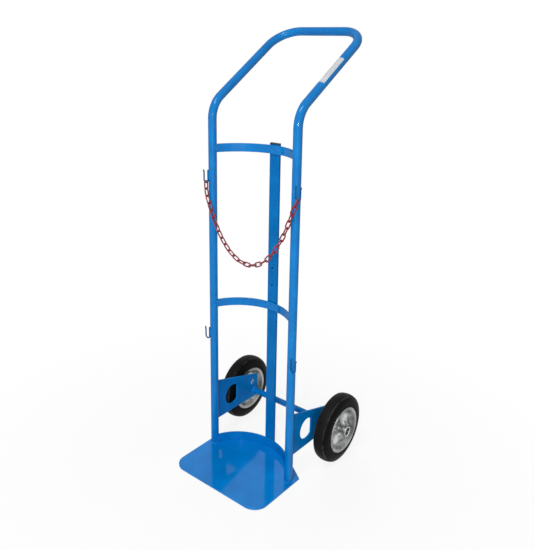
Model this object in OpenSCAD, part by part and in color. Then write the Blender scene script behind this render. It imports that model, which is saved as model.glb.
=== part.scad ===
// Gas cylinder trolley: bent tube frame, curved cradle bands, toe plate, two wheels and a chain.
// X runs across the trolley, +Y to the back, +Z up. The origin is on the floor, midway between
// the uprights. All sizes are millimetres.

/* [Frame tube] */
// Distance between the uprights, centre to centre
frame_w = 307; // [280:1:330]
// Outside diameter of the frame tube
tube_d = 25.4; // [22:0.1:30]
// Wall of the frame tube
tube_wall = 2; // [1.2:0.1:3]
// Height at which the lines of upright and handle meet
bend_z = 1122; // [1060:1:1200]
// How far the cross handle stands behind the uprights
handle_reach = 320; // [240:1:380]
// How far the cross handle stands above the bend
handle_rise = 203; // [140:1:260]
// Radius of the tube's bends, at its centre line
bend_r = 76; // [50:1:90]
// How much the wall thins in a bend, inside and outside
bend_thin = 0.05; // [0.03:0.01:0.2]

/* [Toe plate] */
// Thickness of the toe plate
plate_t = 5; // [3:0.5:8]
// Plate left beside the uprights
plate_rim = 6.8; // [3:0.1:30]
// From the uprights to the front edge
plate_front = 175; // [130:1:240]
// From the uprights to the back ends of the straight sides
plate_side_back = 30; // [20:1:50]
// Width of the short back edge
plate_back_w = 108; // [90:1:140]
// Plate left behind the back post
plate_back_rim = 4; // [2:0.5:12]
// Radius of the two front corners
plate_corner_r = 46; // [20:1:80]

/* [Cradle] */
// Thickness of the curved bands
band_t = 5; // [3:0.5:8]
// Height of the two upper bands
band_h = 25; // [20:1:40]
// From the uprights to the front of a band at its middle
band_depth = 92.5; // [75:0.5:110]
// How far behind its innermost line a band meets the tube, in degrees
band_meet = 20; // [10:1:35]
// Underside of the upper band
upper_band_z = 984; // [900:1:1000]
// Underside of the lower band
lower_band_z = 495; // [440:1:560]
// Height of the rim on the toe plate
rim_h = 30; // [20:1:50]

/* [Back post] */
// Width of the back post
post_w = 35; // [26:1:44]
// Depth of the back post
post_d = 10; // [8:0.5:16]
// Wall of the back post
post_wall = 1.5; // [1:0.1:2.5]
// Post standing above the upper band
post_over = 2; // [1:0.5:10]
// Height of the upper accessory hole
post_hole_z = 632; // [600:1:700]
// Distance between the two accessory holes
post_hole_gap = 55; // [40:1:80]
// Diameter of the accessory holes
post_hole_d = 6.4; // [5:0.1:9]
// Thickness of the end cap's head
cap_h = 4; // [2:0.5:8]
// Length of the end cap's plug
cap_plug = 12; // [8:1:25]

/* [Axle brackets] */
// Thickness of an axle bracket
bracket_t = 6; // [4:0.5:10]
// Underside of the brackets
bracket_z = 88; // [70:1:92]
// Height of a bracket at the upright
bracket_front_h = 143; // [120:1:170]
// Height of a bracket at its back edge
bracket_back_h = 80; // [72:1:100]
// Bracket left behind the axle
bracket_over = 17; // [14:1:30]
// Radius of a bracket's two back corners
bracket_corner_r = 9; // [4:1:12]
// Diameter of the large hole
bracket_hole_d = 69; // [54:1:74]
// From the uprights to the large hole
bracket_hole_y = 86; // [70:1:100]
// Height of the large hole
bracket_hole_z = 146; // [140:1:155]
// From the large hole's middle to its straight back edge
bracket_hole_flat = 23; // [15:0.5:26]
// Diameter of the small hole
small_hole_d = 18; // [10:0.5:22]
// Small hole in front of the axle
small_hole_dy = 8; // [0:1:14]
// Small hole above the axle
small_hole_dz = 35; // [26:1:40]

/* [Axle and wheels] */
// Diameter of the axle
axle_d = 20; // [16:0.5:24]
// From the uprights to the axle
axle_y = 200; // [170:1:240]
// Diameter of the wheels
wheel_d = 222; // [212:1:250]
// Width of the tyre
tyre_w = 50; // [40:1:60]
// Width of the tread
tread_w = 33; // [26:1:38]
// How far the tread's edges lie below its middle
tread_drop = 3.3; // [1:0.1:5]
// Height of the tyre's upright sides above the rim
tyre_side = 10; // [4:0.5:14]
// Diameter over the rim's lips
rim_d = 148; // [140:1:156]
// Height of a rim's lip above the tyre seat
rim_lip = 9.5; // [6:0.5:12]
// Rim lip proud of the tyre's side
lip_proud = 1.5; // [0.5:0.5:4]
// From the rim's lip in to its web
web_recess = 14.5; // [8:0.5:18]
// Height of the boss around the hub
boss_h = 4; // [2:0.5:6]
// Sheet thickness of the rim halves
rim_t = 2.5; // [1.5:0.1:3]
// Outside diameter of the hub tube
hub_d = 32; // [30:0.5:38]
// Wall of the hub tube
hub_wall = 3; // [2:0.1:4]
// Hub tube on the bracket side of the wheel's middle
hub_in = 35; // [30:0.5:45]
// Hub tube on the outer side of the wheel's middle
hub_out = 39.5; // [38:0.5:50]
// Depth of the hub's open outer mouth
hub_mouth = 13; // [11:0.5:16]
// Length of each wheel bush
bush_len = 20; // [12:1:28]
// Pressed ribs in each rim half
rib_count = 6; // [5:1:9]
// Width of a pressed rib
rib_w = 8; // [5:0.5:9]
// Thickness of the axle washers
washer_t = 2.5; // [1.5:0.1:4]
// Diameter of the washers between bracket and wheel
washer_d = 36; // [30:0.5:44]
// Thickness of the retaining rings
ring_t = 1.2; // [0.8:0.1:2]
// Depth of the retaining rings' grooves in the axle
groove_depth = 0.5; // [0.3:0.1:1.5]
// Gap between the ends of a retaining ring
ring_gap = 7; // [4:0.5:10]
// Axle left beyond the retaining rings
axle_over = 3; // [2:0.5:5]

/* [Hooks and chain] */
// Diameter of the hook rod
hook_rod = 4.5; // [3.5:0.1:5]
// Radius of the hook's bend, at its centre line
hook_r = 8; // [7.5:0.5:10]
// Length of the hook's welded leg
hook_leg = 31; // [20:1:45]
// Length of the hook's straight outer leg
hook_tip_leg = 22; // [12:1:30]
// Where the hooks sit on the tube, in degrees from straight out
hook_angle = 60; // [45:1:68]
// Underside of the upper hooks
upper_hook_z = 890; // [820:1:920]
// Underside of the lower hooks
lower_hook_z = 383; // [320:1:420]
// Wire diameter of the chain
wire_d = 4; // [3:0.1:4.2]
// Inside length of a chain link
link_in_l = 22.3; // [21:0.1:25]
// Inside width of a chain link
link_in_w = 7.5; // [7:0.5:9]
// Number of chain links
link_count = 27; // [27:2:35]

/* [Clearances] */
// Gap that a weld fills
weld_gap = 0.1; // [0.05:0.05:0.2]
// Radial clearance of a bush on the axle
bush_fit = 0.05; // [0.02:0.01:0.1]
// Radial clearance of a pressed or pushed fit
press_gap = 0.05; // [0.02:0.01:0.1]
// Side play of a wheel
side_play = 0.3; // [0.2:0.1:1]
// Clearance of washers and retaining rings on the axle
loose_gap = 0.2; // [0.1:0.05:0.3]
// Clearance of washers and retaining rings in the hub's mouth
mouth_gap = 0.5; // [0.3:0.1:1]
// Play between two chain links
chain_play = 0.3; // [0.2:0.1:0.6]
// Clearance of the end links over their hooks
hook_play = 1; // [0.8:0.1:1.4]
// Clearance of the chain in front of the uprights
chain_stand = 1; // [0.8:0.1:2]

/* [Hidden] */
$fn = 64;

paint = [0.05, 0.43, 0.75];
rubber = [0.09, 0.09, 0.09];
zinc = [0.66, 0.67, 0.66];
steel = [0.55, 0.56, 0.57];
cap_black = [0.06, 0.06, 0.07];
chain_red = [0.62, 0.10, 0.15];
bush_grey = [0.75, 0.75, 0.72];

cut = 1;
tube_r = tube_d / 2;
half_w = frame_w / 2;

// Handle: slope of its sides, turn of the lower bend and the runs left between the bends
handle_slope = atan2(handle_rise, handle_reach);
lower_turn = 90 - handle_slope;
lower_tangent = bend_r * tan(lower_turn / 2);
handle_z = bend_z + handle_rise;
slope_run = norm([handle_reach, handle_rise]) - lower_tangent - bend_r;
bend_lap = 0.2;
lap_turn = bend_lap / bend_r * 180 / PI;

// Cradle arc: its middle line passes through the place where a band meets the tube
meet_x = half_w - tube_r * cos(band_meet);
meet_y = tube_r * sin(band_meet);
arc_depth = band_depth + band_t / 2 - meet_y;
arc_r = (meet_x * meet_x + arc_depth * arc_depth) / (2 * arc_depth);
arc_y = band_depth + band_t / 2 - arc_r;
arc_half = atan2(meet_x, meet_y - arc_y);
upper_band_top = upper_band_z + band_h;

// Back post
post_y = band_depth + band_t + weld_gap;
post_top = upper_band_top + post_over;
plate_back = post_y + post_d + plate_back_rim;

// Axle and wheel stack, outwards from a bracket
axle_r = axle_d / 2;
axle_z = wheel_d / 2;
bracket_back = axle_y + bracket_over;
inner_washer_x = half_w + bracket_t / 2 + weld_gap;
hub_x = inner_washer_x + washer_t + side_play;
wheel_x = hub_x + hub_in;
hub_len = hub_in + hub_out;
mouth_x = hub_x + hub_len - hub_mouth;
outer_washer_x = mouth_x + side_play;
ring_x = outer_washer_x + washer_t + loose_gap;
axle_half = ring_x + ring_t + axle_over;

// Wheel: seats inside the rim and bush
lip_x = tyre_w / 2 + lip_proud;
rim_r = rim_d / 2;
seat_r = rim_r - rim_lip;
side_r = rim_r + tyre_side;
tread_r = wheel_d / 2 - tread_drop;
crown_r = (tread_w * tread_w / 4 + tread_drop * tread_drop) / (2 * tread_drop);
hub_r = hub_d / 2;
hub_bore_r = hub_r - hub_wall;
mouth_ring_r = hub_bore_r - mouth_gap;
web_x = lip_x - web_recess;
boss_x = web_x + boss_h;
boss_land = 6;
boss_flank = 8;
boss_r = hub_r + boss_land;
boss_foot_r = boss_r + boss_flank;
cone_w = 11;
cone_slope = atan2(web_recess, cone_w);
web_r = seat_r - cone_w;
rib_sink = rib_w / 4;

// Hooks
hook_stand = tube_r + weld_gap + hook_rod / 2;
hook_x = half_w + hook_stand * cos(hook_angle);
hook_y = -hook_stand * sin(hook_angle);
hook_rise = hook_rod / 2 + hook_r;
flare_r = 10;
flare_turn = 45;
seat_x = hook_x + hook_r;

// Chain: two links at each end lean forward from the hooks, the rest hangs in one plane in front
// of the uprights, and the joints between links lie on a hanging curve of the chain's length
wire_r = wire_d / 2;
link_w = link_in_w + 2 * wire_d;
pitch = link_in_l - chain_play;
bow = (link_in_l + wire_d - pitch) / 2;
seat_z = upper_hook_z + hook_rod / 2;
seat_gap = hook_rod / 2 + wire_r + hook_play - bow;
chain_y = -(tube_r + chain_stand + link_w / 2);
lean_share = 0.66;
end_lean = asin(lean_share * (hook_y - chain_y) / (pitch - lean_share * seat_gap));
end_y = hook_y + seat_gap * sin(end_lean);
next_lean = asin((1 - lean_share) * (end_y - chain_y) / pitch);
end_run = pitch * cos(end_lean);
next_run = pitch * cos(next_lean);
chain_len = pitch * (link_count - 4) + 2 * (end_run + next_run);
hang_halvings = 40;
hang_most = 6;
function sinh(u) = (exp(u) - exp(-u)) / 2;
function asinh(u) = ln(u + sqrt(u * u + 1));
function hang_ratio(half_span, low, high, n) =
    let (mid = (low + high) / 2)
    n == 0 ? mid
    : sinh(mid) / mid < chain_len / (2 * half_span) ? hang_ratio(half_span, mid, high, n - 1)
    : hang_ratio(half_span, low, mid, n - 1);
function hang_size(half_span) = half_span / hang_ratio(half_span, 1 / hang_most, hang_most, hang_halvings);
end_slope = atan(sinh(seat_x / hang_size(seat_x)));
end_x = seat_x + seat_gap * cos(end_slope) * cos(end_lean);
end_z = seat_z + seat_gap * sin(end_slope) * cos(end_lean);
hang = hang_size(end_x);
function along(i) =
    i > link_count / 2 ? chain_len - along(link_count - i)
    : i == 0 ? 0
    : i == 1 ? end_run
    : end_run + next_run + (i - 2) * pitch;
function forward(i) =
    i > link_count / 2 ? forward(link_count - i)
    : i == 0 ? end_y
    : i == 1 ? end_y - lean_share * (end_y - chain_y)
    : chain_y;
function joint_point(i) =
    let (s = along(i) - chain_len / 2)
    [hang * asinh(s / hang), forward(i), end_z + norm([hang, s]) - norm([hang, chain_len / 2])];
function unit(v) = v / norm(v);

module tube_ring(thin) {
    difference() {
        circle(r = tube_r - thin);
        circle(r = tube_r - tube_wall + thin);
    }
}

// A bend whose ends run a little way into the straight tubes it joins
module tube_bend(turn) {
    rotate([0, 0, -lap_turn])
        rotate_extrude(angle = turn + 2 * lap_turn)
            translate([bend_r, 0])
                tube_ring(bend_thin);
}

module frame_side() {
    upright_top = bend_z - lower_tangent;
    top_bend_y = handle_reach - bend_r * cos(handle_slope);
    top_bend_z = handle_z - bend_r * sin(handle_slope);
    translate([half_w, 0, plate_t + weld_gap])
        linear_extrude(upright_top - plate_t - weld_gap)
            tube_ring(0);
    translate([half_w, bend_r, upright_top])
        rotate([90, 0, -90])
            tube_bend(lower_turn);
    translate([half_w, lower_tangent * cos(handle_slope), bend_z + lower_tangent * sin(handle_slope)])
        rotate([-lower_turn, 0, 0])
            linear_extrude(slope_run)
                tube_ring(0);
    translate([half_w - bend_r, top_bend_y, top_bend_z])
        rotate([handle_slope, 0, 0])
            tube_bend(90);
}

module frame_tube() {
    color(paint) {
        frame_side();
        mirror([1, 0, 0])
            frame_side();
        translate([-(half_w - bend_r), handle_reach, handle_z])
            rotate([0, 90, 0])
                linear_extrude(2 * (half_w - bend_r))
                    tube_ring(0);
    }
}

module toe_plate() {
    side = half_w + tube_r + plate_rim;
    corner_x = side - plate_corner_r;
    corner_y = -plate_front + plate_corner_r;
    color(paint)
        linear_extrude(plate_t) {
            polygon([
                [-side, plate_side_back], [-side, corner_y], [-corner_x, -plate_front],
                [corner_x, -plate_front], [side, corner_y], [side, plate_side_back],
                [plate_back_w / 2, plate_back], [-plate_back_w / 2, plate_back]]);
            for (s = [-1, 1])
                translate([s * corner_x, corner_y])
                    circle(r = plate_corner_r);
        }
}

module cradle_band(z, h) {
    color(paint)
        difference() {
            translate([0, arc_y, z])
                rotate([0, 0, 90 - arc_half])
                    rotate_extrude(angle = 2 * arc_half)
                        translate([arc_r - band_t / 2, 0])
                            square([band_t, h]);
            for (s = [-1, 1])
                translate([s * half_w, 0, z - cut])
                    cylinder(r = tube_r + weld_gap, h = h + 2 * cut);
        }
}

module base_rim() {
    cradle_band(plate_t + weld_gap, rim_h);
}

module lower_band() {
    cradle_band(lower_band_z, band_h);
}

module upper_band() {
    cradle_band(upper_band_z, band_h);
}

module back_post() {
    foot = plate_t + weld_gap;
    color(paint)
        difference() {
            translate([-post_w / 2, post_y, foot])
                cube([post_w, post_d, post_top - foot]);
            translate([-post_w / 2 + post_wall, post_y + post_wall, foot - cut])
                cube([post_w - 2 * post_wall, post_d - 2 * post_wall, post_top - foot + 2 * cut]);
            for (z = [post_hole_z, post_hole_z - post_hole_gap])
                translate([0, post_y - cut, z])
                    rotate([-90, 0, 0])
                        cylinder(d = post_hole_d, h = post_d + 2 * cut);
        }
}

module post_cap() {
    inset = post_wall + press_gap;
    color(cap_black) {
        translate([-post_w / 2, post_y, post_top])
            cube([post_w, post_d, cap_h]);
        translate([-post_w / 2 + inset, post_y + inset, post_top - cap_plug])
            cube([post_w - 2 * inset, post_d - 2 * inset, cap_plug]);
    }
}

module bracket_outline() {
    r = bracket_corner_r;
    front_top = bracket_z + bracket_front_h;
    back_top = bracket_z + bracket_back_h;
    fall = atan2(front_top - back_top, bracket_back);
    round_y = bracket_back - r;
    round_z = back_top + r * tan(fall) - r / cos(fall);
    polygon([
        [0, bracket_z], [round_y, bracket_z], [bracket_back, bracket_z + r], [bracket_back, round_z],
        [round_y + r * sin(fall), round_z + r * cos(fall)], [0, front_top]]);
    for (z = [bracket_z + r, round_z])
        translate([round_y, z])
            circle(r = r);
}

// Round hole with a straight back edge
module large_hole() {
    r = bracket_hole_d / 2;
    intersection() {
        circle(r = r);
        translate([-r, -r])
            square([r + bracket_hole_flat, 2 * r]);
    }
}

module axle_bracket(side) {
    color(paint)
        difference() {
            translate([side * half_w - bracket_t / 2, 0, 0])
                rotate([90, 0, 90])
                    linear_extrude(bracket_t)
                        difference() {
                            bracket_outline();
                            translate([bracket_hole_y, bracket_hole_z])
                                large_hole();
                            translate([axle_y - small_hole_dy, axle_z + small_hole_dz])
                                circle(d = small_hole_d);
                            translate([axle_y, axle_z])
                                circle(r = axle_r + press_gap);
                        }
            translate([side * half_w, 0, bracket_z - cut])
                cylinder(r = tube_r + weld_gap, h = bracket_front_h + 2 * cut);
        }
}

module bracket_left() {
    axle_bracket(-1);
}

module bracket_right() {
    axle_bracket(1);
}

// Places a shape along the axle on one side, with local +X pointing outwards
module on_axle(side, x) {
    translate([0, axle_y, axle_z])
        mirror([side < 0 ? 1 : 0, 0, 0])
            translate([x, 0, 0])
                children();
}

// A ring about the axle that starts at x = 0
module axle_ring(r, bore, w) {
    rotate([0, 90, 0])
        linear_extrude(w)
            difference() {
                circle(r = r);
                circle(r = bore);
            }
}

module axle() {
    color(paint)
        difference() {
            translate([-axle_half, axle_y, axle_z])
                rotate([0, 90, 0])
                    cylinder(r = axle_r, h = 2 * axle_half);
            for (side = [-1, 1])
                on_axle(side, ring_x - press_gap)
                    axle_ring(axle_r + cut, axle_r - groove_depth, ring_t + 2 * press_gap);
        }
}

module axle_washers() {
    color(zinc)
        for (side = [-1, 1]) {
            on_axle(side, inner_washer_x)
                axle_ring(washer_d / 2, axle_r + loose_gap, washer_t);
            on_axle(side, outer_washer_x)
                axle_ring(mouth_ring_r, axle_r + loose_gap, washer_t);
        }
}

// Spring rings in the axle's grooves, open at the bottom
module retaining_rings() {
    color(zinc)
        for (side = [-1, 1])
            on_axle(side, ring_x)
                difference() {
                    axle_ring(mouth_ring_r, axle_r - groove_depth + press_gap, ring_t);
                    translate([-cut, -ring_gap / 2, -mouth_ring_r - cut])
                        cube([ring_t + 2 * cut, ring_gap, mouth_ring_r]);
                }
}

// J-shaped rod hook, open at the top, with its tip flared outwards
module rod_hook(side, z) {
    color(paint)
        translate([side * hook_x, hook_y, z + hook_rise])
            mirror([side < 0 ? 1 : 0, 0, 0]) {
                cylinder(d = hook_rod, h = hook_leg);
                translate([hook_r, 0, 0])
                    rotate([-90, 0, 0])
                        rotate_extrude(angle = 180)
                            translate([hook_r, 0])
                                circle(d = hook_rod);
                translate([2 * hook_r, 0, 0])
                    cylinder(d = hook_rod, h = hook_tip_leg);
                translate([2 * hook_r + flare_r, 0, hook_tip_leg])
                    rotate([90, 0, 180])
                        rotate_extrude(angle = flare_turn)
                            translate([flare_r, 0])
                                circle(d = hook_rod);
            }
}

module hook_upper_left() {
    rod_hook(-1, upper_hook_z);
}

module hook_upper_right() {
    rod_hook(1, upper_hook_z);
}

module hook_lower_left() {
    rod_hook(-1, lower_hook_z);
}

module hook_lower_right() {
    rod_hook(1, lower_hook_z);
}

// Seat between the rim's lips, sloping walls and a slightly crowned tread
module tyre(side) {
    bore = seat_r + press_gap;
    foot = rim_r + press_gap;
    groove = lip_x - rim_t - press_gap;
    color(rubber)
        on_axle(side, wheel_x)
            rotate([0, 90, 0])
                rotate_extrude() {
                    translate([bore, -groove])
                        square([foot - bore + cut, 2 * groove]);
                    polygon([
                        [foot, -tyre_w / 2], [side_r, -tyre_w / 2], [tread_r, -tread_w / 2],
                        [tread_r, tread_w / 2], [side_r, tyre_w / 2], [foot, tyre_w / 2]]);
                    intersection() {
                        translate([wheel_d / 2 - crown_r, 0])
                            circle(r = crown_r);
                        translate([tread_r - cut, -tread_w / 2])
                            square([tread_drop + 2 * cut, tread_w]);
                    }
                }
}

// One pressed half of the rim: collar on the hub, ribbed web, tyre seat and lip
module rim_half() {
    collar = hub_r + press_gap;
    cone_back_x = lip_x - rim_t * tan(cone_slope) - rim_t / cos(cone_slope);
    rotate([0, 90, 0]) {
        rotate_extrude()
            polygon([
                [collar, web_x - rim_t], [collar, boss_x], [boss_r, boss_x], [boss_foot_r, web_x],
                [web_r, web_x], [seat_r, lip_x], [rim_r, lip_x], [rim_r, lip_x - rim_t],
                [seat_r, lip_x - rim_t], [seat_r, press_gap], [seat_r - rim_t, press_gap],
                [seat_r - rim_t, cone_back_x], [web_r + rim_t * tan(cone_slope / 2), web_x - rim_t]]);
        for (i = [0 : rib_count - 1])
            rotate([0, 0, i * 360 / rib_count])
                translate([boss_foot_r - cut, 0, web_x - rib_w / 2 + rib_sink])
                    rotate([0, 90, 0])
                        cylinder(d = rib_w, h = web_r - boss_foot_r + 2 * cut);
    }
}

module rim_outer(side) {
    color(zinc)
        on_axle(side, wheel_x)
            rim_half();
}

module rim_inner(side) {
    color(zinc)
        on_axle(side, wheel_x)
            mirror([1, 0, 0])
                rim_half();
}

module hub(side) {
    color(zinc)
        on_axle(side, hub_x)
            axle_ring(hub_r, hub_bore_r, hub_len);
}

module bushes(side) {
    color(bush_grey)
        for (x = [hub_x, mouth_x - bush_len])
            on_axle(side, x)
                axle_ring(hub_bore_r - press_gap, axle_r + bush_fit, bush_len);
}

module tyre_left() {
    tyre(-1);
}

module rim_outer_left() {
    rim_outer(-1);
}

module rim_inner_left() {
    rim_inner(-1);
}

module hub_left() {
    hub(-1);
}

module bushes_left() {
    bushes(-1);
}

module tyre_right() {
    tyre(1);
}

module rim_outer_right() {
    rim_outer(1);
}

module rim_inner_right() {
    rim_inner(1);
}

module hub_right() {
    hub(1);
}

module bushes_right() {
    bushes(1);
}

// One link in the local XY plane, its length along X
module chain_link() {
    bend = (link_in_w + wire_d) / 2;
    half = (link_in_l + wire_d) / 2 - bend;
    for (s = [0, 180])
        rotate([0, 0, s]) {
            translate([half, 0, 0])
                rotate([0, 0, -90])
                    rotate_extrude(angle = 180)
                        translate([bend, 0])
                            circle(r = wire_r);
            translate([-half, bend, 0])
                rotate([0, 90, 0])
                    cylinder(r = wire_r, h = 2 * half);
        }
}

module chain() {
    color(chain_red)
        for (i = [0 : link_count - 1])
            let (
                from = joint_point(i),
                to = joint_point(i + 1),
                t = unit(to - from),
                edge = unit([0, 1, 0] - t[1] * t),
                w = i % 2 == 0 ? edge : cross(t, edge),
                n = cross(t, w),
                c = (from + to) / 2)
                multmatrix([
                    [t[0], w[0], n[0], c[0]],
                    [t[1], w[1], n[1], c[1]],
                    [t[2], w[2], n[2], c[2]],
                    [0, 0, 0, 1]])
                    chain_link();
}

frame_tube();
toe_plate();
base_rim();
lower_band();
upper_band();
back_post();
post_cap();
bracket_left();
bracket_right();
axle();
axle_washers();
retaining_rings();
hook_upper_left();
hook_upper_right();
hook_lower_left();
hook_lower_right();
tyre_left();
rim_outer_left();
rim_inner_left();
hub_left();
bushes_left();
tyre_right();
rim_outer_right();
rim_inner_right();
hub_right();
bushes_right();
chain();
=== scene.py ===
import bpy
import bmesh
import math
import random
from mathutils import Matrix, Quaternion, Vector


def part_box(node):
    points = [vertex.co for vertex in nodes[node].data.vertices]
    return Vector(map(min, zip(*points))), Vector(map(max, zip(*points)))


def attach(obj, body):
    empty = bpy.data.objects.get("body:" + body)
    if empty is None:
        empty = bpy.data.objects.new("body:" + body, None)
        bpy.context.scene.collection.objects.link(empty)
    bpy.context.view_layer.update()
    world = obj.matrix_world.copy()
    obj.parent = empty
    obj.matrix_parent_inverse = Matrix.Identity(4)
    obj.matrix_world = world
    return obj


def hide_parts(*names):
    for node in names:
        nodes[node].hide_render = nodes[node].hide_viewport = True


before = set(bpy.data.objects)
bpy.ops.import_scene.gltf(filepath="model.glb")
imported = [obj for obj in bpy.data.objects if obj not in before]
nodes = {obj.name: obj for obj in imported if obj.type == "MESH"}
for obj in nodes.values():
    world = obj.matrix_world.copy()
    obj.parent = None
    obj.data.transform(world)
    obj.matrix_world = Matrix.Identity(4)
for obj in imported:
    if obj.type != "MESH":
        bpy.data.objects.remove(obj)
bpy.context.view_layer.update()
mm = 0.001
hair = 0.001 * mm  # points this close count as one
random.seed(7)
print("frame loaded:", len(nodes), "nodes")


# Shader maths: a socket in a node tree, with the operators that the materials use
class Wire:
    def __init__(self, tree, socket=None):
        self.tree = tree
        self.socket = socket

    def feed(self, target, value):
        if isinstance(value, Wire):
            self.tree.links.new(value.socket, target)
        else:
            target.default_value = value

    def node(self, kind, settings=None, sockets=None, output=0):
        made = self.tree.nodes.new(kind)
        for key, value in (settings or {}).items():
            setattr(made, key, value)
        for key, value in (sockets or {}).items():
            self.feed(made.inputs[key], value)
        return Wire(self.tree, made.outputs[output])

    def math(self, operation, first, second):
        return self.node("ShaderNodeMath", {"operation": operation}, {0: first, 1: second})

    def vector(self, operation, first, second=(0, 0, 0)):
        output = "Value" if operation in ("LENGTH", "DOT_PRODUCT") else "Vector"
        return self.node("ShaderNodeVectorMath", {"operation": operation}, {0: first, 1: second}, output)

    def __add__(self, other):
        return self.math("ADD", self, other)

    def __radd__(self, other):
        return self.math("ADD", other, self)

    def __sub__(self, other):
        return self.math("SUBTRACT", self, other)

    def __rsub__(self, other):
        return self.math("SUBTRACT", other, self)

    def __mul__(self, other):
        return self.math("MULTIPLY", self, other)

    def __rmul__(self, other):
        return self.math("MULTIPLY", other, self)

    def between(self, low, high):
        # 0 at low, 1 at high, straight in between and held outside
        sockets = {"Value": self, "From Min": low, "From Max": high}
        return self.node("ShaderNodeMapRange", {"clamp": True}, sockets)

    def mixColour(self, dark, light):
        return self.node("ShaderNodeMix", {"data_type": "RGBA"}, {0: self, 6: dark, 7: light}, 2)

    def noise(self, scale, detail=3.0, roughness=0.55):
        sockets = {"Vector": self, "Scale": scale, "Detail": detail, "Roughness": roughness}
        return self.node("ShaderNodeTexNoise", {}, sockets)


def colour(red, green, blue):
    # an 8-bit screen colour as a linear one
    def linear(part):
        part = part / 255
        return part / 12.92 if part <= 0.04045 else ((part + 0.055) / 1.055) ** 2.4
    return (linear(red), linear(green), linear(blue), 1.0)


def newMaterial(name):
    made = bpy.data.materials.new(name)
    made.use_nodes = True
    shader = made.node_tree.nodes["Principled BSDF"]
    wire = Wire(made.node_tree)
    place = wire.node("ShaderNodeTexCoord", output=3)  # object coordinates, in metres
    return made, wire, shader.inputs, place


def finishSurface(wire, shader, base, roughness, height, strength, depth):
    relief = {"Height": height, "Strength": strength, "Distance": depth}
    wire.feed(shader["Base Color"], base)
    wire.feed(shader["Roughness"], roughness)
    wire.feed(shader["Normal"], wire.node("ShaderNodeBump", {}, relief))


# Blue paint over steel, brighter and glossier on the toe plate than on the frame
blue = {"deep": colour(0, 115, 192), "bright": colour(2, 127, 206), "dust": colour(60, 156, 214)}
frameBlue = {"deep": colour(0, 110, 182), "bright": colour(2, 121, 195), "dust": colour(54, 148, 204)}
deepBlue = {"deep": colour(0, 101, 169), "bright": colour(2, 111, 182), "dust": colour(46, 134, 190)}
navy = {"deep": colour(0, 70, 124), "bright": colour(0, 92, 156), "dust": colour(40, 128, 184)}
spraySpec = {
    "cloud": 14,  # slow drift of the shade, per metre
    "streak": 60,  # uneven gloss, per metre
    "peel": 420,  # ripples of the sprayed coat, per metre
    "speck": 900,  # specks of dust, per metre
    "peelHeight": 0.03 * mm,
    "dusting": 0.08,  # how much the specks show
    "uneven": 0.08,  # how much the roughness varies
}
paintSpec = {
    "framePaint": {"shades": frameBlue, "gloss": 0.0, "roughness": 0.1, "coat": 0.38},
    "platePaint": {"shades": blue, "gloss": 0.22, "roughness": 0.09, "coat": 0.0},
    "bracketPaint": {"shades": frameBlue, "gloss": 0.025, "roughness": 0.3, "coat": 0.0},
    "postPaint": {"shades": deepBlue, "gloss": 0.0, "roughness": 0.16, "coat": 0.16},
    "hookPaint": {"shades": navy, "gloss": 0.1, "roughness": 0.2, "coat": 0.0},
    "weldPaint": {"shades": blue, "gloss": 0.45, "roughness": 0.13, "coat": 0.0},
}


def makePaint(name):
    spec = paintSpec[name]
    shades, roughness, uneven = spec["shades"], spec["roughness"], spraySpec["uneven"]
    made, wire, shader, place = newMaterial(name)
    drift = place.noise(spraySpec["cloud"], 2.0).between(0.35, 0.7)
    specks = place.noise(spraySpec["speck"], 4.0, 0.7).between(0.66, 0.78)
    base = drift.mixColour(shades["deep"], shades["bright"])
    streak = place.noise(spraySpec["streak"], 4.0)
    peel = place.noise(spraySpec["peel"], 2.0, 0.4)
    base = (specks * spraySpec["dusting"]).mixColour(base, shades["dust"])
    rough = roughness + (streak - 0.5) * uneven + specks * uneven
    finishSurface(wire, shader, base, rough, peel, 0.3, spraySpec["peelHeight"])
    shader["Specular IOR Level"].default_value = spec["gloss"]
    if spec["coat"]:
        wire.feed(shader["Coat Weight"], spec["coat"] * (0.8 + streak * 0.4))
        shader["Coat Roughness"].default_value = roughness
    return made


# Galvanised sheet of the rims: a bowl with a painted highlight streak inside a plain lip, both with painted
# reflections
sheetSpec = {
    # pale and grey: light and dark of the painted reflections and the painted highlight streak on the bowl
    "pale": colour(212, 214, 212),
    "grey": colour(82, 86, 85),
    # lip and lipShade: light and dark of the painted reflection on the lip
    "lip": colour(162, 164, 163),
    "lipShade": colour(112, 115, 114),
    "lipFrom": 65 * mm,  # radius at which the plain lip begins
    "streak": math.radians(55),  # direction of the painted highlight streak across the pressed bowl
    "streakFade": (60 * mm, 46 * mm),  # the painted highlight shows from the first radius and is full at the second
    "reflectionSector": 1.5,  # how often the painted reflection changes around the axle
    "cloud": 40,  # soft patches of painted reflection, per metre
    "grime": 260,  # fine dirt, per metre
    "relief": 0.1 * mm,
    "roughness": 0.26,
}


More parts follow.
